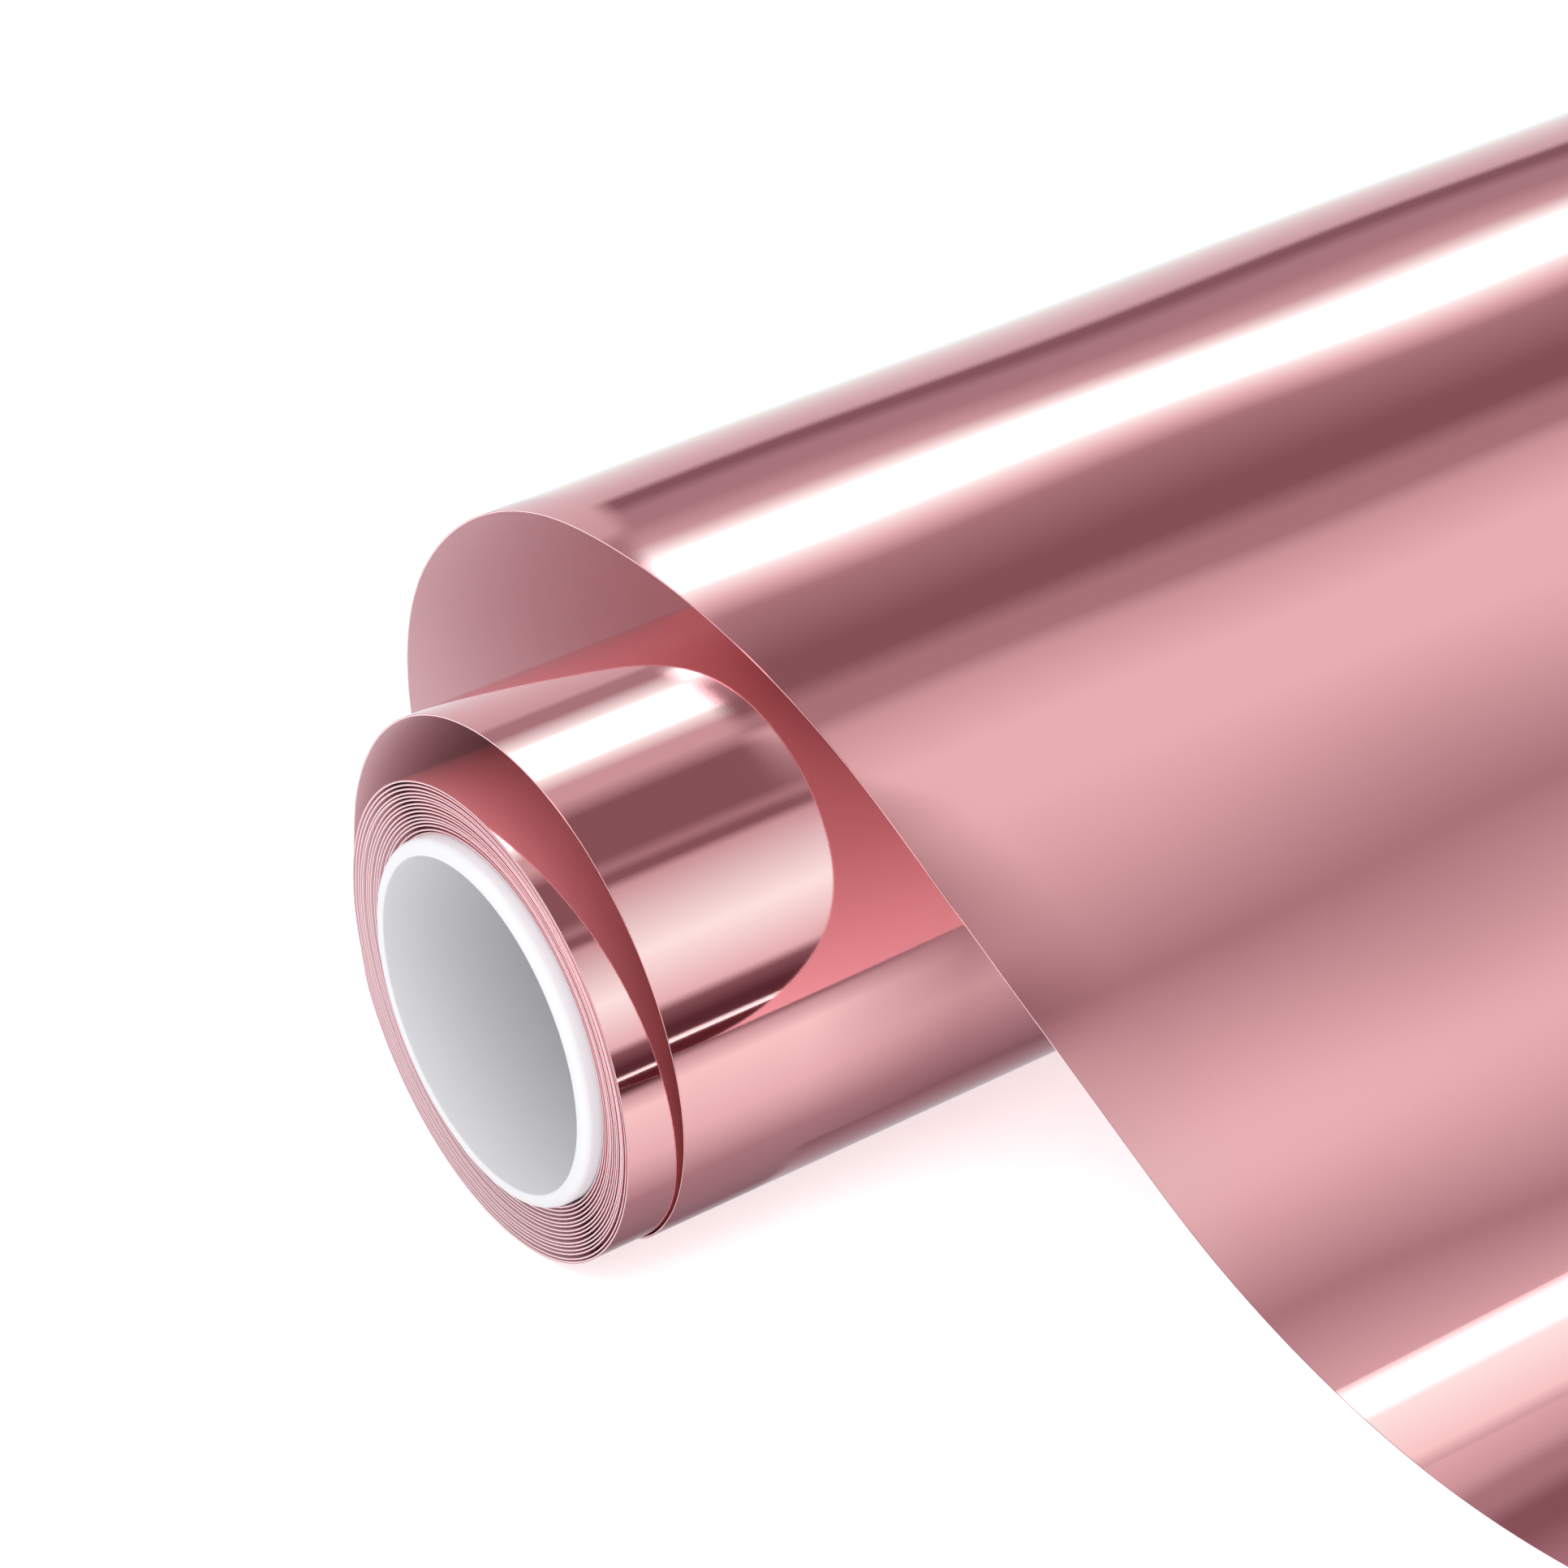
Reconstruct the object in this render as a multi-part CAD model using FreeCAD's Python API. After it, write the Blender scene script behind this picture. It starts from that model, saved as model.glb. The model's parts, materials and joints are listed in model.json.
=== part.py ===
"""Copper foil on a release liner, wound on a plastic core and partly unrolled.

The origin is the middle of the core's bore. +X runs along the core, +Z is up and the free
end of the web runs out towards -Y, down to the surface that the roll lies on.
"""
import FreeCAD, Part
import math
import os

# ---- Driving sizes: millimetres, and degrees turned about +X from +Y

# The web is one strip: a copper foil face over its release liner
web_width = 320.0
foil_thickness = 0.18
liner_thickness = 0.20

# The core is a moulded tube that stands out of the wound pack at both ends
core_bore_radius = 38.1
core_wall = 3.5
core_overhang = 4.0
lip_outer_round = 1.8
lip_inner_round = 0.5

# The start tape holds the web's inner end to the core
tape_thickness = 0.10
tape_breadth = 25.0
tape_margin = 12.5

# The wound pack is loose: its turns lie close on one side and stand apart on the other
turns = 15
tight_gap = 0.19
slack_gap = 0.79
slack_direction = -30.0

# The inner loop has sprung off the pack: each bend's radius is this much over the pack's
leave_angle = -7.0
return_angle = 219.0
inner_lead_slack = 96.0
inner_crown_slack = 0.8
inner_return_slack = 10.0
lay_gap = 0.05

# The outer loop lies on the table behind the pack, rises, and turns over the inner loop
table_run = 53.0
rear_radius = 55.0
rise_lean = 5.0
rise_length = 23.5
outer_bends = ((54.4, 46.0), (74.8, 52.4))

# The free sheet comes down off the outer loop and lands along the table
shoulder_radius = 167.0
shoulder_turn = 36.8
landing_radius = 167.0
flat_length = 58.0

# The loosened web has slid along the core: a little where it leaves the pack, most of it
# where the outer loop lies free on the table, and then evenly, as the web runs off askew
leaving_slide = 3.7
leaving_ease = (-10.0, 40.0)
loop_skew = 0.05
rear_slide = 33.6
web_skew = 0.08

# ---- Worked out from the driving sizes
laminate = foil_thickness + liner_thickness
core_radius = core_bore_radius + core_wall
core_end = web_width / 2 + core_overhang
first_radius = core_radius + tape_thickness + laminate
slack_step = (laminate + slack_gap) / 2
tight_step = (laminate + tight_gap) / 2
pack_radius = first_radius + turns * (slack_step + tight_step)
pack_offset = turns * (slack_step - tight_step)
under_radius = pack_radius + lay_gap + laminate


def direction(angle):
    """The (y, z) unit vector at an angle from +Y."""
    turned = math.radians(angle)
    return (math.cos(turned), math.sin(turned))


def along(point, angle, distance):
    """The point a distance away in a direction."""
    y, z = direction(angle)
    return (point[0] + distance * y, point[1] + distance * z)


def bearing(start, end):
    """The direction from one point to another, from 0 to 360 degrees."""
    return math.degrees(math.atan2(end[1] - start[1], end[0] - start[0])) % 360


pack_centre = along((0.0, 0.0), slack_direction, pack_offset)
table_height = pack_centre[1] - under_radius


class Bend:
    """A round stretch of the web. Its foil face is a cylinder, outside a forward turn."""

    def __init__(self, start, heading, radius, turn):
        self.forward = turn > 0
        self.radius = radius
        self.first = heading - 90 if self.forward else heading + 90
        self.last = self.first + turn
        self.centre = along(start, self.first, -radius)
        self.length = radius * math.radians(abs(turn))
        self.heading = heading + turn

    def radius_at(self, depth):
        """The radius of the layer that lies a depth under the foil face."""
        return self.radius - depth if self.forward else self.radius + depth

    def ends(self, depth):
        """The (y, z) points where a layer of the stretch starts and ends."""
        radius = self.radius_at(depth)
        return along(self.centre, self.first, radius), along(self.centre, self.last, radius)

    def end(self):
        return self.ends(0.0)[1]


class Run:
    """A straight stretch of the web."""

    def __init__(self, start, heading, length):
        self.start = start
        self.heading = heading
        self.length = length

    def ends(self, depth):
        """The (y, z) points where a layer of the stretch starts and ends."""
        first = along(self.start, self.heading + 90, depth)
        return first, along(first, self.heading, self.length)

    def end(self):
        return self.ends(0.0)[1]


class Web:
    """The web's route, laid stretch after stretch, each one tangent to the last."""

    def __init__(self, start, heading):
        self.point = start
        self.heading = heading

    def bend(self, radius, turn):
        return self.lay(Bend(self.point, self.heading, radius, turn))

    def run(self, length):
        return self.lay(Run(self.point, self.heading, length))

    def lay(self, stretch):
        self.point = stretch.end()
        self.heading = stretch.heading
        return stretch


def eased(share):
    """0 to 1 with level ends, as the share goes from 0 to 1."""
    share = min(max(share, 0.0), 1.0)
    return share * share * (3 - 2 * share)


def edge_place(distance):
    """X of the web's near edge, by the distance from where the web leaves the pack."""
    ease_start, ease_end = leaving_ease
    slid = leaving_slide * eased((distance - ease_start) / (ease_end - ease_start))
    slid += loop_skew * (min(max(distance, ease_end), slide_start) - ease_end)
    slid += rear_slide * eased((distance - slide_start) / (slide_end - slide_start))
    slid += web_skew * max(distance - slide_end, 0.0)
    return slid - web_width / 2


def corner(point, x):
    return FreeCAD.Vector(x, point[0], point[1])


def polygon_face(corners):
    return Part.Face(Part.makePolygon(corners + corners[:1]))


def bend_surface(stretch, depth):
    """The cylinder of one layer of a bend, drawn about +Z before it is laid along X."""
    surface = Part.Cylinder()
    surface.Radius = stretch.radius_at(depth)
    surface.Center = FreeCAD.Vector(stretch.centre[0], stretch.centre[1], 0)
    return surface


def bend_line(surface, start, end):
    """An edge on the cylinder between two (angle, x) points: straight when it is unrolled."""
    first = FreeCAD.Base.Vector2d(math.radians(start[0]), start[1])
    last = FreeCAD.Base.Vector2d(math.radians(end[0]), end[1])
    return Part.Geom2d.Line2dSegment(first, last).toShape(surface)


def laid_along_x(shape):
    """Turn what was drawn about +Z, with X and Y for y and z, to its place along X."""
    turned = FreeCAD.Matrix(0, 0, 1, 0, 1, 0, 0, 0, 0, 1, 0, 0, 0, 0, 0, 1)
    return shape.transformed(turned, copy=True)


def bend_faces(stretch, depths, edges):
    """The top, bottom and two side faces of a bend, given its edge places at both ends."""
    faces = []
    lines = []
    for depth in depths:
        surface = bend_surface(stretch, depth)
        start, end = stretch.first, stretch.last
        near = bend_line(surface, (start, edges[0]), (end, edges[1]))
        far = bend_line(surface, (end, edges[1] + web_width), (start, edges[0] + web_width))
        closing = bend_line(surface, (end, edges[1]), (end, edges[1] + web_width))
        opening = bend_line(surface, (start, edges[0] + web_width), (start, edges[0]))
        faces.append(Part.Face(surface, Part.Wire([near, closing, far, opening])))
        lines.append((near, far))
    for side in (0, 1):
        faces.append(Part.makeRuledSurface(lines[0][side], lines[1][side]))
    return [laid_along_x(face) for face in faces]


def run_faces(stretch, depths, edges, slant):
    """The top, bottom and two side faces of a straight run. The slant cuts its far corner."""
    faces = []
    outlines = []
    for depth in depths:
        start, end = stretch.ends(depth)
        cut = along(end, stretch.heading, -slant)
        far_slip = (edges[1] - edges[0]) * slant / stretch.length
        outlines.append([corner(start, edges[0]), corner(end, edges[1]),
                         corner(cut, edges[1] + web_width - far_slip),
                         corner(start, edges[0] + web_width)])
        faces.append(polygon_face(outlines[-1]))
    top, bottom = outlines
    for first, last in ((0, 1), (2, 3)):
        faces.append(polygon_face([top[first], top[last], bottom[last], bottom[first]]))
    return faces, outlines


def web_layer(stretches, depths, distance, slant=0.0):
    """One closed solid: the layer of the web between two depths, over tangent stretches.

    The distance is how far past the pack the first stretch starts. The slant is how much
    shorter the last run is at its far edge, which squares the cut end to the web's edges.
    """
    faces = []
    for index, stretch in enumerate(stretches):
        edges = (edge_place(distance), edge_place(distance + stretch.length))
        if isinstance(stretch, Bend):
            faces += bend_faces(stretch, depths, edges)
            starts, ends = zip(*(stretch.ends(depth) for depth in depths))
            closing = [corner(end, edges[1] + shift) for end in ends for shift in (0, web_width)]
        else:
            last = index == len(stretches) - 1
            sides, outlines = run_faces(stretch, depths, edges, slant if last else 0.0)
            faces += sides
            closing = [outline[place] for outline in outlines for place in (1, 2)]
        if index == 0:
            opening = [corner(stretch.ends(depth)[0], edges[0] + shift)
                       for depth in depths for shift in (0, web_width)]
        distance += stretch.length
    for near_top, far_top, near_bottom, far_bottom in (opening, closing):
        faces.append(polygon_face([near_top, far_top, far_bottom, near_bottom]))
    shell = Part.makeShell(faces)
    shell.sewShape()
    solid = Part.makeSolid(shell)
    if solid.Volume < 0:
        solid.reverse()
    return solid


def total_length(stretches):
    return sum(stretch.length for stretch in stretches)


def meeting_centre(first, first_distance, second, second_distance):
    """The higher of the two points at given distances from two centres."""
    gap = math.dist(first, second)
    foot = (first_distance ** 2 - second_distance ** 2 + gap ** 2) / (2 * gap)
    height = math.sqrt(first_distance ** 2 - foot ** 2)
    base = along(first, bearing(first, second), foot)
    sides = [along(base, bearing(first, second) + turn, height) for turn in (90, -90)]
    return max(sides, key=lambda point: point[1])


def wind_pack(web):
    """Half turns about centres that step towards the slack side, then the last part turn."""
    stretches = []
    radius = first_radius
    for _ in range(turns):
        stretches.append(web.bend(radius, 180))
        radius += slack_step
        stretches.append(web.bend(radius, 180))
        radius += tight_step
    stretches.append(web.bend(radius, leave_angle - slack_direction))
    return stretches


def spring_inner_loop(web):
    """A flat lead off the pack, a crown over it, and a bend back down on to its underside."""
    lead_radius = pack_radius + inner_lead_slack
    crown_radius = pack_radius + inner_crown_slack
    return_radius = under_radius + inner_return_slack
    lead_centre = along(pack_centre, leave_angle, pack_radius - lead_radius)
    return_centre = along(pack_centre, return_angle, under_radius - return_radius)
    crown_centre = meeting_centre(lead_centre, lead_radius - crown_radius,
                                  return_centre, return_radius - crown_radius)
    crown_start = bearing(lead_centre, crown_centre)
    crown_end = bearing(return_centre, crown_centre)
    return [web.bend(lead_radius, crown_start - leave_angle),
            web.bend(crown_radius, crown_end - crown_start),
            web.bend(return_radius, return_angle - crown_end)]


def lie_behind(web):
    """Round under the pack, back along the table and up off it."""
    return [web.bend(under_radius, 270 - return_angle), web.run(table_run),
            web.bend(rear_radius, 90 - rise_lean)]


def throw_over(web):
    """Up behind the pack and over the inner loop."""
    stretches = [web.run(rise_length)]
    for radius, turn in outer_bends:
        stretches.append(web.bend(radius, turn))
    return stretches


def land_free_sheet(web):
    """A shoulder, a straight ramp of the length that is left, a landing and a flat end."""
    shoulder = web.bend(shoulder_radius, shoulder_turn)
    descent = web.heading % 360 - 180
    drop = web.point[1] - table_height - laminate
    landing_drop = landing_radius * (1 - math.cos(math.radians(descent)))
    ramp = web.run((drop - landing_drop) / math.sin(math.radians(descent)))
    landing = web.bend(landing_radius, -descent)
    return [shoulder, ramp, landing, web.run(flat_length)]


def core_tube():
    """The tube's wall, with a soft outer and a small inner round at each lip, turned about X."""
    inner, outer, end = core_bore_radius, core_radius, core_end
    slope = math.sqrt(0.5)
    big, small = lip_outer_round, lip_inner_round

    def lip(side):
        """The points from the bore to the outside over one lip."""
        return [(side * (end - small), inner),
                (side * (end - small + small * slope), inner + small - small * slope),
                (side * end, inner + small),
                (side * end, outer - big),
                (side * (end - big + big * slope), outer - big + big * slope),
                (side * (end - big), outer)]

    def place(point):
        return FreeCAD.Vector(point[0], 0, point[1])

    near, far = [[place(point) for point in lip(side)] for side in (-1, 1)]
    edges = [Part.LineSegment(far[0], near[0]).toShape(),
             Part.LineSegment(near[5], far[5]).toShape()]
    for points in (near, far):
        edges.append(Part.Arc(points[0], points[1], points[2]).toShape())
        edges.append(Part.LineSegment(points[2], points[3]).toShape())
        edges.append(Part.Arc(points[3], points[4], points[5]).toShape())
    wall = Part.Face(Part.Wire(Part.__sortEdges__(edges)))
    return wall.revolve(FreeCAD.Vector(0, 0, 0), FreeCAD.Vector(1, 0, 0), 360)


def start_tape():
    """A thin strip round part of the core, under the first of the web."""
    near_end = tape_margin - web_width / 2
    span = math.degrees(tape_breadth / core_radius)
    arcs = []
    for radius in (core_radius, core_radius + tape_thickness):
        points = [corner(along((0.0, 0.0), slack_direction + share * span, radius), near_end)
                  for share in (0.0, 0.5, 1.0)]
        arcs.append((points, Part.Arc(*points).toShape()))
    (inner, inner_arc), (outer, outer_arc) = arcs
    sides = [Part.LineSegment(inner[end], outer[end]).toShape() for end in (0, 2)]
    outline = Part.Wire(Part.__sortEdges__([inner_arc, outer_arc] + sides))
    return Part.Face(outline).extrude(FreeCAD.Vector(web_width - 2 * tape_margin, 0, 0))


foil = (0.0, foil_thickness)
liner = (foil_thickness, laminate)
web = Web(along((0.0, 0.0), slack_direction, first_radius), slack_direction + 90)
winding = wind_pack(web)
inner_loop = spring_inner_loop(web)
rear_bend = lie_behind(web)
outer_loop = rear_bend + throw_over(web)
free_sheet = land_free_sheet(web)

slide_start = total_length(inner_loop)
slide_end = slide_start + total_length(rear_bend)
sheet_start = slide_start + total_length(outer_loop)
end_slant = web_width * web_skew

parts = {"core_tube": core_tube(), "start_tape": start_tape()}
for name, depths in (("foil", foil), ("liner", liner)):
    parts[name + "_winding"] = web_layer(winding, depths, -total_length(winding))
    parts[name + "_inner_loop"] = web_layer(inner_loop, depths, 0.0)
    parts[name + "_outer_loop"] = web_layer(outer_loop, depths, slide_start)
    parts[name + "_free_sheet"] = web_layer(free_sheet, depths, sheet_start, end_slant)

os.makedirs("parts", exist_ok=True)
for name, shape in parts.items():
    shape.exportStep("parts/" + name + ".step")
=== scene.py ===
import bpy
import json
import math
import numpy as np
from mathutils import Matrix, Vector


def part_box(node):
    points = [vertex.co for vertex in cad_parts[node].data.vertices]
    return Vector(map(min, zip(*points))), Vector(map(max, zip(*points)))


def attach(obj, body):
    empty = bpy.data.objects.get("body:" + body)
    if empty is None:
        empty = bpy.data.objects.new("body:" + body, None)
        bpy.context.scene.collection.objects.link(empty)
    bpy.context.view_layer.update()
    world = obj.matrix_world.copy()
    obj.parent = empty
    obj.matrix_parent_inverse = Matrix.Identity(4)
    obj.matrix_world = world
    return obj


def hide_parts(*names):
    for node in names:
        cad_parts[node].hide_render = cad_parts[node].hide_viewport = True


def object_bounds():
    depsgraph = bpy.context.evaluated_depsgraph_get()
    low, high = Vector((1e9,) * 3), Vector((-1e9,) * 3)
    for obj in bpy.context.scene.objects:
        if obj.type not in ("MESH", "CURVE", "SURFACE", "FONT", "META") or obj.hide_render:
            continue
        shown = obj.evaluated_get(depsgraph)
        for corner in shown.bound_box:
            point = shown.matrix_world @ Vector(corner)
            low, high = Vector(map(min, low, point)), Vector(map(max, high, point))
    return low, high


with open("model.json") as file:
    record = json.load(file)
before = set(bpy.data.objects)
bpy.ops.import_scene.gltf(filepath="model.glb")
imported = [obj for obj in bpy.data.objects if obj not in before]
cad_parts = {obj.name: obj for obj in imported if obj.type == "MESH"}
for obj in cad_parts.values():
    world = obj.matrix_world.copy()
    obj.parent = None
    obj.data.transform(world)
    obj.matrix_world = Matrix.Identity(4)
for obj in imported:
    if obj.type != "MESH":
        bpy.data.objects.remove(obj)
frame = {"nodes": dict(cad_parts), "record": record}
cad_low, cad_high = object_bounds()

# ---- Core tube: a white moulded plastic tube with soft lips. It is the roll's spindle
# and stands 4 mm out of the wound pack at both ends.


def ring_mesh(name, rings, looped, creased=()):
    """A closed surface through an array of rings, shaped (rings, points, 3).

    Each ring is joined to the next by quads. The last is joined to the first if looped;
    if not, both ends are capped with quads between a ring's first half and its second.
    If the volume under the faces comes out negative, they are turned to point outwards.
    The lines of points numbered in creased, and the rims of capped ends, stay sharp.
    """
    count, width = rings.shape[:2]
    number = np.arange(count * width).reshape(count, width)
    here = number if looped else number[:-1]
    ahead = np.roll(number, -1, axis=0) if looped else number[1:]
    sides = np.stack([here, ahead, np.roll(ahead, -1, axis=1), np.roll(here, -1, axis=1)], -1)
    faces = [sides.reshape(-1, 4)]
    if not looped:
        step = np.arange(width // 2 - 1)
        cap = np.stack([step, step + 1, width - 2 - step, width - 1 - step], -1)
        faces += [number[0][cap], number[-1][cap[:, ::-1]]]
    faces = np.concatenate(faces)
    points = rings.reshape(-1, 3)
    a, b, c, d = (points[faces[:, corner]] for corner in range(4))
    if np.einsum("ij,ij->", a, np.cross(b, c) + np.cross(c, d)) < 0:
        faces = faces[:, ::-1]
    mesh = bpy.data.meshes.new(name)
    mesh.from_pydata(points.tolist(), [], faces.tolist())
    mesh.shade_smooth()
    if creased:
        ends = np.empty(len(mesh.edges) * 2, int)
        mesh.edges.foreach_get("vertices", ends)
        ring, column = np.divmod(ends.reshape(-1, 2), width)
        along = (column[:, 0] == column[:, 1]) & np.isin(column[:, 0], creased)
        rim = (ring[:, 0] == ring[:, 1]) & np.isin(ring[:, 0], (0, count - 1))
        crease = mesh.attributes.new("sharp_edge", "BOOLEAN", "EDGE")
        crease.data.foreach_set("value", along | rim)
    piece = bpy.data.objects.new(name, mesh)
    bpy.context.scene.collection.objects.link(piece)
    return piece


def finish_of(name, **sockets):
    """A material of that name, with those sockets of its principled shader set."""
    made = bpy.data.materials.new(name)
    made.use_nodes = True
    shader = made.node_tree.nodes["Principled BSDF"]
    for socket, value in sockets.items():
        shader.inputs[socket.replace("_", " ")].default_value = value
    return made


def add_grain(finish, per_metre, height):
    """Bumps so many metres high, from noise of that scale in the object's own space."""
    tree = finish.node_tree
    place = tree.nodes.new("ShaderNodeTexCoord")
    noise = tree.nodes.new("ShaderNodeTexNoise")
    noise.inputs["Scale"].default_value = per_metre
    noise.inputs["Detail"].default_value = 3.0
    bump = tree.nodes.new("ShaderNodeBump")
    bump.inputs["Strength"].default_value = 1.0
    bump.inputs["Distance"].default_value = height
    tree.links.new(place.outputs["Object"], noise.inputs["Vector"])
    tree.links.new(noise.outputs["Fac"], bump.inputs["Height"])
    tree.links.new(bump.outputs["Normal"], tree.nodes["Principled BSDF"].inputs["Normal"])


bore = next(mount for mount in frame["record"]["mounts"] if mount["name"] == "core_bore")
bore_radius = bore["dims"]["r_mm"] / 1000
core_end, _, core_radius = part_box("core_tube")[1]
outer_round, inner_round = 0.0020, 0.0005
steps_round = 192

# The tube's section is a lip, from its bore round to its outside, and its mirror image,
# carried round the X axis: y and z are the section's radius times an angle's cosine and sine
quarter = np.radians(np.linspace(0, 90, 9))
inner_lip = np.stack([core_end - inner_round * (1 - np.sin(quarter[::2])),
                      bore_radius + inner_round * (1 - np.cos(quarter[::2]))], -1)
outer_lip = np.stack([core_end - outer_round * (1 - np.cos(quarter)),
                      core_radius - outer_round * (1 - np.sin(quarter))], -1)
lip = np.concatenate([inner_lip, outer_lip])
section = np.concatenate([lip, lip[::-1] * (-1, 1)])
angle = np.linspace(0, 2 * math.pi, steps_round, endpoint=False)[:, None]
core_rings = np.stack([np.broadcast_to(section[:, 0], (steps_round, len(section))),
                       section[:, 1] * np.cos(angle), section[:, 1] * np.sin(angle)], -1)
core = ring_mesh("core", core_rings, looped=True)
core_plastic = finish_of("core_plastic", Base_Color=(0.62, 0.615, 0.635, 1), Roughness=0.38,
                         Specular_IOR_Level=0.45)
add_grain(core_plastic, 900, 0.000012)
core.data.materials.append(core_plastic)
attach(core, "root")
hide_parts("core_tube")

# ---- Start tape: a thin adhesive strip under the first of the web. It holds the web's
# inner end to the core, and is hidden by the pack.
tape = frame["nodes"]["start_tape"]
tape_film = finish_of("start_tape", Base_Color=(0.62, 0.50, 0.30, 1), Roughness=0.45)
add_grain(tape_film, 1200, 0.00001)
tape.data.materials.clear()
tape.data.materials.append(tape_film)

# ---- Copper foil: the web's outer face, bright rolled copper 320 mm wide. It is wound
# loose on the core, has sprung off in two loops and runs out to the table. Its liner
# takes the same route, so the route is worked out once here, in millimetres and degrees.

millimetre = 0.001
web_width = 320.0
foil_depth, web_depth = 0.18, 0.38

# The pack's turns stand apart on the slack side, so their centre steps that way
turns, first_radius, slack_way = 15, 42.08, -30.0
slack_step, tight_step = 0.585, 0.285

# The inner loop leaves the pack and comes back under it; its bends are this much slacker
leave, back = -7.0, 219.0
lead_slack, crown_slack, return_slack, lay_gap = 96.0, 0.8, 10.0, 0.05

# The outer loop runs back along the table, rises, and turns over; the sheet lands in front
table_run, rear_bend, rise = 53.0, (55.0, 85.0), 23.5
over_bends, shoulder = [(54.4, 46.0), (74.8, 52.4)], (167.0, 36.8)
landing_radius, flat_end = 167.0, 58.0

# About how far past the leaving point the inner loop ends, and the rear bend starts and ends
loop_end, rear_start, rear_end = 244.0, 350.0, 428.0


def direction(degrees):
    """The (y, z) unit vectors at angles from +Y: the angle's cosine and sine."""
    turned = np.radians(degrees)
    return np.stack([np.cos(turned), np.sin(turned)], -1)


def bearing(start, end):
    """The direction from one point to another, from 0 to 360 degrees."""
    return math.degrees(math.atan2(end[1] - start[1], end[0] - start[0])) % 360


def meeting_centre(first, first_distance, second, second_distance):
    """The higher of the two points at given distances from two centres."""
    apart = math.dist(first, second)
    foot = (first_distance ** 2 - second_distance ** 2 + apart ** 2) / (2 * apart)
    height = math.sqrt(first_distance ** 2 - foot ** 2)
    ahead = (second - first) / apart
    square = np.array([-ahead[1], ahead[0]])
    sides = [first + ahead * foot + square * height * side for side in (1, -1)]
    return max(sides, key=lambda point: point[1])


def stretch_lengths(route):
    """The length of each stretch: a bend is (radius, turn), and a run is (length, 0)."""
    return np.array([size * math.radians(abs(turn)) if turn else size for size, turn in route])


def trace(route, start, heading, spacing=0.25):
    """Places, headings and distances at even spacing along a route.

    A bend's heading grows evenly over its arc, and a run's stays the same. The places are
    the running sum of short steps, each in its own heading's direction.
    """
    ends = np.concatenate([[0.0], np.cumsum(stretch_lengths(route))])
    headings = heading + np.concatenate([[0.0], np.cumsum([turn for _, turn in route])])
    distance = np.linspace(0.0, ends[-1], int(ends[-1] / spacing) + 1)
    middle = (distance[1:] + distance[:-1]) / 2
    steps = direction(np.interp(middle, ends, headings)) * np.diff(distance)[:, None]
    places = start + np.concatenate([[[0.0, 0.0]], np.cumsum(steps, 0)])
    return places, np.interp(distance, ends, headings), distance


pack_radius = first_radius + turns * (slack_step + tight_step)
pack_centre = turns * (slack_step - tight_step) * direction(slack_way)
under_radius = pack_radius + lay_gap + web_depth
table = pack_centre[1] - under_radius

winding = []
for turn in range(turns):
    radius = first_radius + turn * (slack_step + tight_step)
    winding += [(radius, 180.0), (radius + slack_step, 180.0)]
winding.append((pack_radius, leave - slack_way))
wound_places, wound_way, wound_distance = trace(
    winding, direction(slack_way) * first_radius, slack_way + 90)
wound_distance = wound_distance - wound_distance[-1]

lead, crown = pack_radius + lead_slack, pack_radius + crown_slack
home = under_radius + return_slack
lead_centre = pack_centre + direction(leave) * (pack_radius - lead)
home_centre = pack_centre + direction(back) * (under_radius - home)
crown_centre = meeting_centre(lead_centre, lead - crown, home_centre, home - crown)
crown_from = (bearing(lead_centre, crown_centre) + 180) % 360 - 180
crown_to = bearing(home_centre, crown_centre)
inner_loop = [(lead, crown_from - leave), (crown, crown_to - crown_from), (home, back - crown_to)]
behind = [(under_radius, 270 - back), (table_run, 0.0), rear_bend]
loose = inner_loop + behind + [(rise, 0.0)] + over_bends + [shoulder]

# The ramp is as long as the drop that the landing leaves to it
leave_point = pack_centre + direction(leave) * pack_radius
over_places, over_way, _ = trace(loose, leave_point, leave + 90)
descent = over_way[-1] % 360 - 180
landing_drop = landing_radius * (1 - math.cos(math.radians(descent)))
ramp_drop = over_places[-1][1] - table - web_depth - landing_drop
loose += [(ramp_drop / math.sin(math.radians(descent)), 0.0), (landing_radius, -descent),
          (flat_end, 0.0)]


def ease_bends(way, distance, start, reach=48, spacing=0.25):
    """Places and headings of the loose web, with its changes of curve eased.

    The headings are averaged over a bell-shaped window that reaches so many steps either
    way, carried on round the pack before the start and straight on past the end. The
    places are summed again, and then let down evenly so that the far end meets the table.
    """
    before = way[0] - np.degrees(np.arange(reach, 0, -1) * spacing / pack_radius)
    window = np.hanning(2 * reach + 1)
    carried = np.concatenate([before, way, np.full(reach, way[-1])])
    way = np.convolve(carried, window / window.sum(), "valid")
    steps = direction((way[1:] + way[:-1]) / 2) * np.diff(distance)[:, None]
    places = start + np.concatenate([[[0.0, 0.0]], np.cumsum(steps, 0)])
    settle = np.clip((distance - rear_start) / (distance[-1] - rear_start), 0, 1)
    places[:, 1] += settle * (table + web_depth - places[-1, 1])
    return places, way


_, way, distance = trace(loose, leave_point, leave + 90)
places, way = ease_bends(way, distance, leave_point)
loose_length = distance[-1]
all_places = np.concatenate([wound_places[:-1], places])
all_way = np.concatenate([wound_way[:-1], way])
all_distance = np.concatenate([wound_distance[:-1], distance])

rng = np.random.default_rng(7)


def wander(count, reach):
    """Smooth random values from -1 to 1: white noise averaged over a reach of samples."""
    rough = np.convolve(rng.standard_normal(count + reach + 1), np.hanning(reach + 2), "valid")
    rough = rough[:count]
    return rough / np.abs(rough).max()


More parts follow.
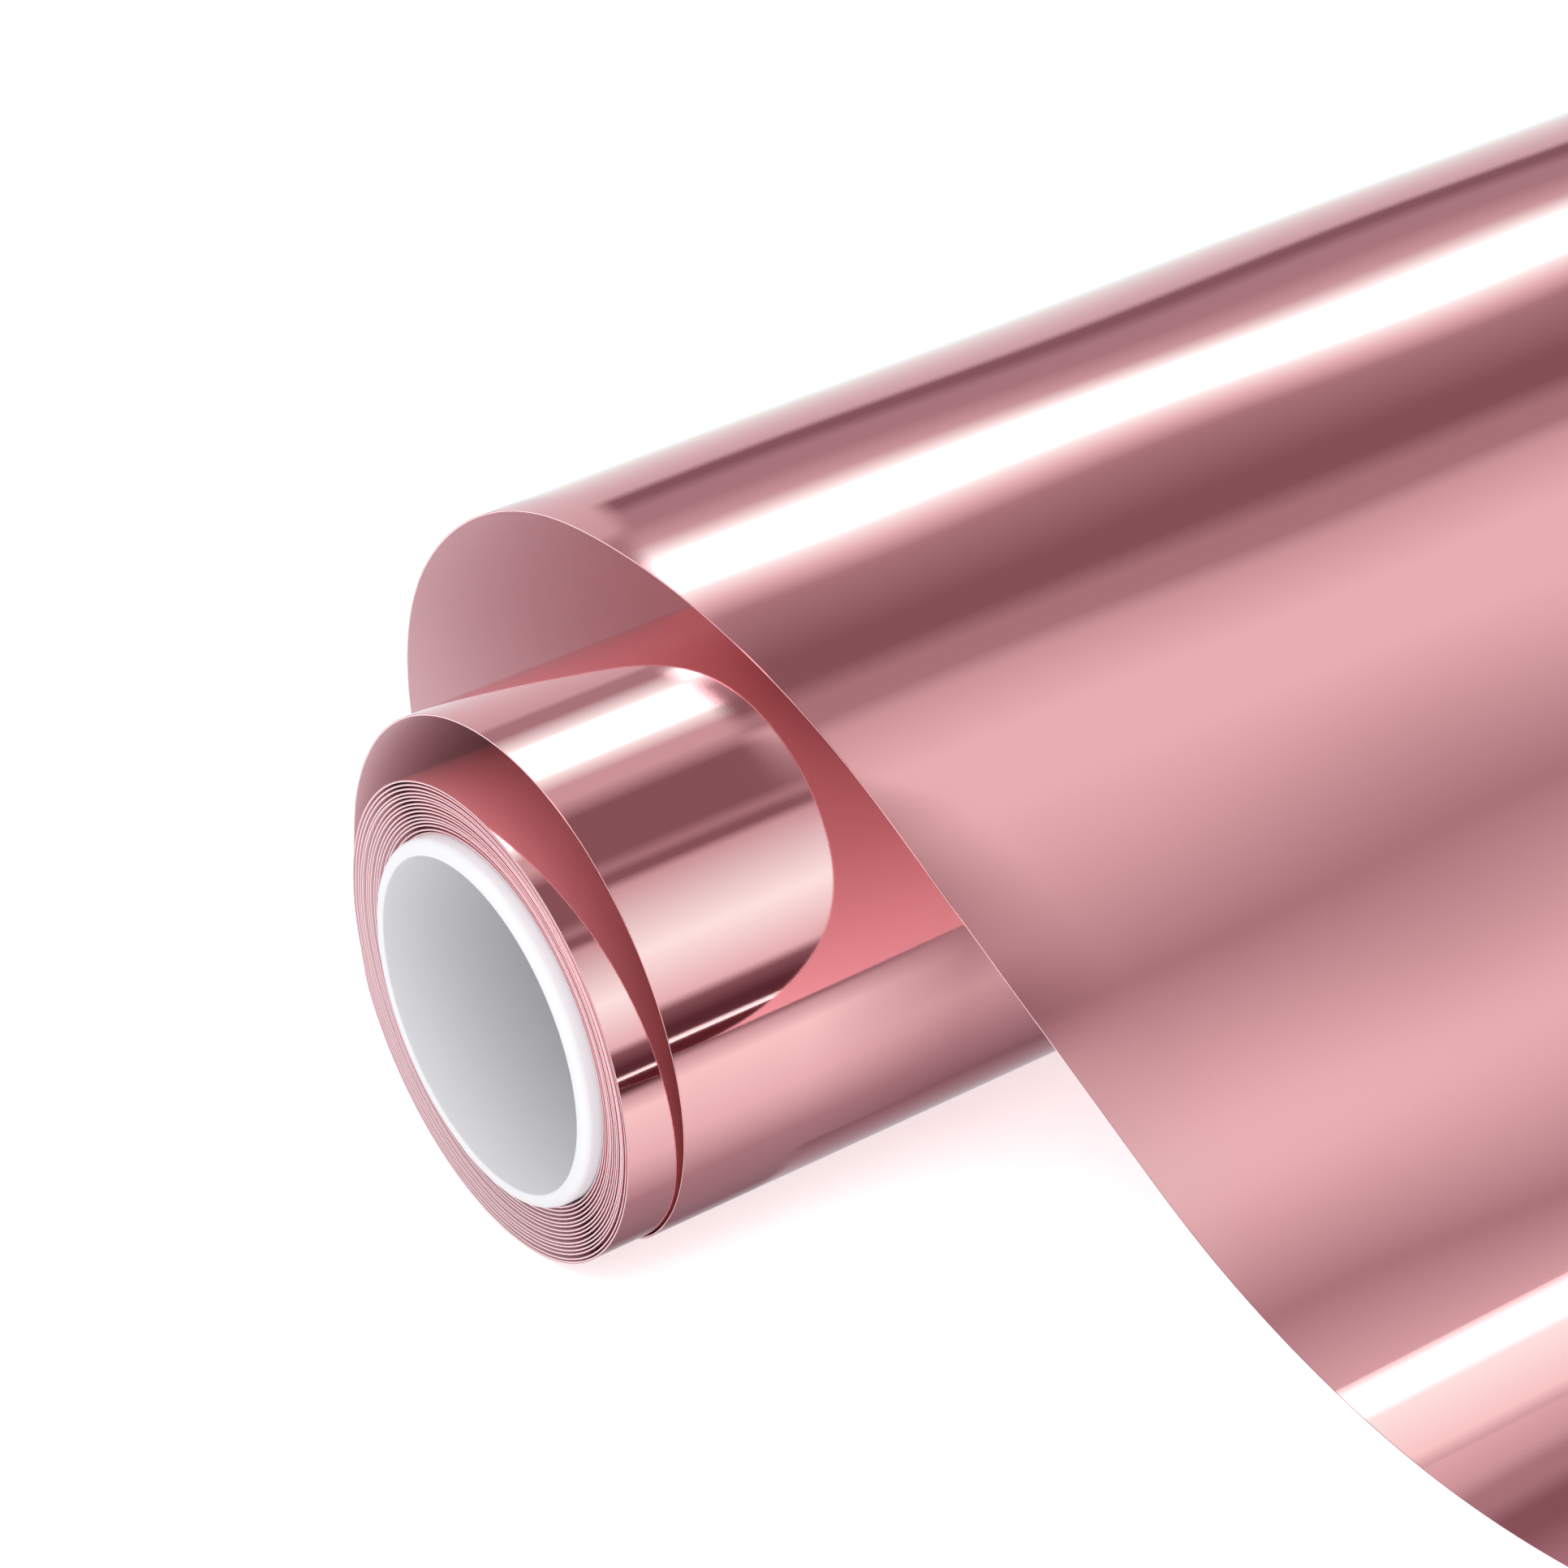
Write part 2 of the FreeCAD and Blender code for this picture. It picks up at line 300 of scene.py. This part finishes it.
def eased(share):
    """0 to 1 with level ends, 3 squares less 2 cubes, as the share goes from 0 to 1."""
    share = np.clip(share, 0, 1)
    return share * share * (3 - 2 * share)


# Turns stand unevenly in the room between them, and their edges are a little out of line.
# The loose web has a faint ripple: waves (per millimetre along, per millimetre across, phase)
stations = np.concatenate([np.linspace(wound_distance[0], 0, 1400, endpoint=False),
                           np.linspace(0, loose_length, 380)])
turned = np.interp(stations, all_distance, all_way) - 90
room = slack_step + tight_step - web_depth
room = room + (slack_step - tight_step) * np.cos(np.radians(turned - slack_way))
in_pack = np.clip(-stations / 300, 0, 1) * np.clip((stations - stations[0]) / 250, 0.1, 1)
lift = 0.42 * room * wander(len(stations), 26) * in_pack
jitter = 0.22 * wander(len(stations), 60) * np.clip(-stations / 60, 0, 1)
waves = [(rng.uniform(-1, 1) / 85, rng.uniform(-1, 1) / 150, rng.uniform(0, 6.3)) for _ in range(7)]
wave_height = 0.07
across = 25
columns = np.linspace(0, web_width, across)
corner_lines = (0, across - 1, across, 2 * across - 1)

# The web's slide along the core: where it leaves the pack, round the inner loop, behind
# the pack, and then evenly as it runs off askew
leave_slide, loop_skew, rear_slide, run_skew = 3.7, 0.05, 33.6, 0.08


def near_edge(s):
    """X of the web's near edge, by the distance s past where it leaves the pack.

    An eased step of the leaving slide from 10 before to 40 past, a straight slope to the
    inner loop's end, an eased step behind the pack, and a steeper slope from there on.
    """
    slid = leave_slide * eased((s + 10) / 50) + loop_skew * (np.clip(s, 40, loop_end) - 40)
    slid = slid + rear_slide * eased((s - loop_end) / (rear_end - loop_end))
    return slid + run_skew * np.clip(s - rear_end, 0, None) - web_width / 2


def strip_rings(outer, inner):
    """One layer of the web as rings, along its outer face and back along its inner one.

    A point is the route's place at s, moved along the inward normal by its depth, less the
    turn's lift, plus the ripple where the web hangs free. Over the last 150 mm, s falls
    off across the web by the askew slope, which squares the cut end to the edges.
    """
    cut = np.clip((stations - loose_length + 150) / 150, 0, 1)[:, None]
    s = stations[:, None] - run_skew * columns * cut
    at = np.stack([np.interp(s, all_distance, all_places[:, k]) for k in (0, 1)], -1)
    inward = direction(np.interp(s, all_distance, all_way) + 90)
    free = eased((s - 20) / 80) * (1 - eased((s - 215) / 30)) + eased((s - rear_start) / 60)
    free = free * (1 - eased((s - loose_length + 130) / 60))
    ripple = sum(np.cos(2 * math.pi * (s * p + columns * q) + r) for p, q, r in waves)
    height = lift[:, None] - free * wave_height * ripple
    x = near_edge(s) + jitter[:, None] + columns
    faces = [np.concatenate([x[..., None], at + inward * (depth - height)[..., None]], -1)
             for depth in (outer, inner)]
    return np.concatenate([faces[0], faces[1][:, ::-1]], 1) * millimetre


foil = ring_mesh("copper_foil", strip_rings(0.0, foil_depth), False, corner_lines)
copper = finish_of("copper_foil", Base_Color=(0.93, 0.42, 0.43, 1), Metallic=1.0, Roughness=0.055)
add_grain(copper, 1700, 0.0000013)
foil.data.materials.append(copper)
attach(foil, "root")
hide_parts("foil_winding", "foil_inner_loop", "foil_outer_loop", "foil_free_sheet")

# ---- Release liner: the web's inner face, a matt mauve paper that carries the adhesive
# side of the foil. It follows the foil turn for turn, a hair clear of it.
hair = 0.003
liner = ring_mesh("release_liner", strip_rings(foil_depth + hair, web_depth), False, corner_lines)
paper = finish_of("release_liner", Base_Color=(0.80, 0.60, 0.65, 1), Roughness=0.52,
                  Specular_IOR_Level=0.4)
add_grain(paper, 1100, 0.00001)
liner.data.materials.append(paper)
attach(liner, "root")
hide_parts("liner_winding", "liner_inner_loop", "liner_outer_loop", "liner_free_sheet")

# ---- Floor: a plain white table top, far wider than the view, with its face at the foot
# of the object. A little light of its own keeps its shadow faint.
reach, floor_z = 4.0, cad_low.z - 0.0001
floor_mesh = bpy.data.meshes.new("floor")
floor_mesh.from_pydata([(-reach, -reach, floor_z), (reach, -reach, floor_z),
                        (reach, reach, floor_z), (-reach, reach, floor_z)], [], [(0, 1, 2, 3)])
floor_mesh.materials.append(finish_of(
    "floor", Base_Color=(0.90, 0.90, 0.90, 1), Roughness=0.9, Specular_IOR_Level=0.0,
    Emission_Color=(1, 1, 1, 1), Emission_Strength=0.55))
floor = bpy.data.objects.new("floor", floor_mesh)
bpy.context.scene.collection.objects.link(floor)
floor.visible_glossy = False

# ---- Light tent: a round lining of lamps, cloths and dark gaps about the roll, which only
# the gloss sees. Each panel edge is (degrees about X from +Y, cloth), and the cloths blend
# between edges. The near tent lights the pack and inner loop, the far tent the outer web.
flag, gap, dim = (0.10, 0.04, 0.05), (0.25, 0.16, 0.18), (0.42, 0.33, 0.36)
cloth, silk, white = (0.64, 0.58, 0.60), (0.86, 0.84, 0.85), (1.02, 1.10, 1.06)
sheer, lit = (1.06, 1.50, 1.42), (2.6, 2.6, 2.6)
cool_cast = (1.0, 1.19, 1.21)
near_panels = [(-70, gap), (-40, cloth), (0, silk), (48, cloth), (51, dim), (58, dim), (67, sheer),
               (69, lit), (84, lit), (86, sheer), (92, cloth), (98, cloth), (106, gap), (125, gap),
               (129, dim), (132, gap), (134, gap), (137, cloth), (160, sheer), (178, silk),
               (181, gap), (187, flag), (197, flag), (200, cloth), (207, white), (231, silk),
               (255, dim), (290, gap)]
far_panels = [(-90, gap), (-40, cloth), (0, white), (35, cloth), (38, gap), (41, gap), (45, dim),
              (49, dim), (54, cloth), (57, sheer), (59, lit), (66, lit), (68, sheer), (71, silk),
              (75, dim), (87, gap), (92, gap), (96, dim), (100, dim), (103, cloth), (114, silk),
              (122, silk), (134, dim), (144, silk), (160, sheer), (170, white), (175, cloth),
              (180, gap), (200, dim), (225, cloth), (248, dim), (270, gap)]


def glow_panel(name, near, far, near_glow, far_glow):
    """A strip between two lines of points, shining from one line's colours to the other's.

    Its colours are an attribute on its points, and only reflections see it.
    """
    count = len(near)
    index = np.arange(count - 1)
    quads = np.stack([index, index + 1, index + count + 1, index + count], -1)
    mesh = bpy.data.meshes.new(name)
    mesh.from_pydata(np.concatenate([near, far]).tolist(), [], quads.tolist())
    light = np.ones((2 * count, 4))
    light[:, :3] = np.concatenate([near_glow, far_glow]) * cool_cast
    glow = mesh.attributes.new("glow", "FLOAT_COLOR", "POINT")
    glow.data.foreach_set("color", light.ravel())
    lining = bpy.data.materials.new(name)
    lining.use_nodes = True
    tree = lining.node_tree
    tree.nodes.clear()
    reading = tree.nodes.new("ShaderNodeAttribute")
    reading.attribute_name = "glow"
    shine = tree.nodes.new("ShaderNodeEmission")
    target = tree.nodes.new("ShaderNodeOutputMaterial")
    tree.links.new(reading.outputs["Color"], shine.inputs["Color"])
    tree.links.new(shine.outputs["Emission"], target.inputs["Surface"])
    mesh.materials.append(lining)
    panel = bpy.data.objects.new(name, mesh)
    bpy.context.scene.collection.objects.link(panel)
    panel.visible_camera = False
    panel.visible_diffuse = False
    panel.visible_shadow = False
    panel.visible_transmission = False


def blended(panels, at):
    """The cloths' colours at some places, blended evenly between panel edges."""
    edges = [edge for edge, _ in panels]
    return np.stack([np.interp(at, edges, [tone[k] for _, tone in panels]) for k in range(3)], -1)


# The two tents meet at a seam near the middle of the roll. On the front side, past 100
# degrees, it lies further along and is blended more softly
tent_radius, tent_near_end, tent_far_end = 0.26, -0.45, 0.80
degrees = np.linspace(-90, 270, 541)
front_side = eased((degrees - 100) / 30)
seam, overlap = -0.0025 + 0.0225 * front_side, 0.003 + 0.022 * front_side
circle = direction(degrees) * tent_radius
tent_lines = [np.column_stack([np.broadcast_to(x, len(degrees)), circle])
              for x in (tent_near_end, seam - overlap, seam + overlap, tent_far_end)]
near_glow = blended(near_panels, (degrees + 70) % 360 - 70)
far_glow = blended(far_panels, degrees)
glow_panel("near_tent", tent_lines[0], tent_lines[1], near_glow, near_glow)
glow_panel("tent_join", tent_lines[1], tent_lines[2], near_glow, far_glow)
glow_panel("far_tent", tent_lines[2], tent_lines[3], far_glow, far_glow)

# ---- Strip light: a narrow bar low over the landing, which only the gloss sees. It draws
# the bright line along the foot of the free sheet. Each panel edge is (y, cloth).
bar_height = -0.030
bar_panels = [(-0.1905, cloth), (-0.1885, white), (-0.1810, sheer), (-0.1795, lit),
              (-0.1765, lit), (-0.1745, white)]
bar_y = np.array([edge for edge, _ in bar_panels])
bar_near, bar_far = (np.column_stack([np.full(len(bar_y), x), bar_y, np.full(len(bar_y), bar_height)])
                     for x in (-0.12, 0.45))
bar_glow = blended(bar_panels, bar_y)
glow_panel("bar", bar_near, bar_far, bar_glow, bar_glow)

# ---- Studio light: an even white surround, one large soft lamp above, and a small warm
# one in the gap between the loops. That one stands for the light that reaches the gap
# from the roll's far end, off the copper. The gloss sees neither lamp.
world = bpy.data.worlds.new("surround")
world.use_nodes = True
world.node_tree.nodes["Background"].inputs["Color"].default_value = (1.0, 1.0, 1.0, 1)
world.node_tree.nodes["Background"].inputs["Strength"].default_value = 1.15
bpy.context.scene.world = world
bpy.context.scene.view_settings.view_transform = "Standard"


def area_lamp(name, shape, size, energy, place):
    """An area lamp at a place, facing down until it is turned, out of the gloss's sight."""
    data = bpy.data.lights.new(name, "AREA")
    data.shape = shape
    data.size = size
    data.energy = energy
    lamp = bpy.data.objects.new(name, data)
    lamp.location = place
    lamp.visible_glossy = False
    lamp.visible_camera = False
    bpy.context.scene.collection.objects.link(lamp)
    return lamp


overhead = area_lamp("lamp", "DISK", 1.6, 14.0, (-0.35, -0.55, 1.5))
overhead.rotation_euler = (-overhead.location).to_track_quat("-Z", "Y").to_euler()
gap_lamp = area_lamp("gap_glow", "RECTANGLE", 0.12, 0.020, (0.035, 0.080, 0.0))
gap_lamp.rotation_euler = (math.pi, 0, 0)
gap_lamp.data.size_y = 0.02
gap_lamp.data.color = (1.0, 0.26, 0.26)
gap_lamp.data.spread = math.radians(90)

# ---- Camera: level would be along (cos turn, sin turn); the tilt looks down, and the roll
# dips its right side
turn, tilt, roll = (math.radians(value) for value in (-31.095, 26.621, -7.383))
ahead = Vector((-math.sin(turn) * math.cos(tilt), math.cos(turn) * math.cos(tilt), -math.sin(tilt)))
level = Vector((math.cos(turn), math.sin(turn), 0.0))
upright = level.cross(ahead)
right = level * math.cos(roll) + upright * math.sin(roll)
up = right.cross(ahead)
camera_data = bpy.data.cameras.new("camera")
camera_data.lens = 114.15
camera_data.sensor_width = 36.0
camera_data.clip_end = 50.0
camera = bpy.data.objects.new("camera", camera_data)
camera.matrix_world = Matrix.Translation((-0.57581, -0.81937, 0.50556)) @ Matrix(
    (right, up, -ahead)).transposed().to_4x4()
bpy.context.scene.collection.objects.link(camera)
bpy.context.scene.camera = camera
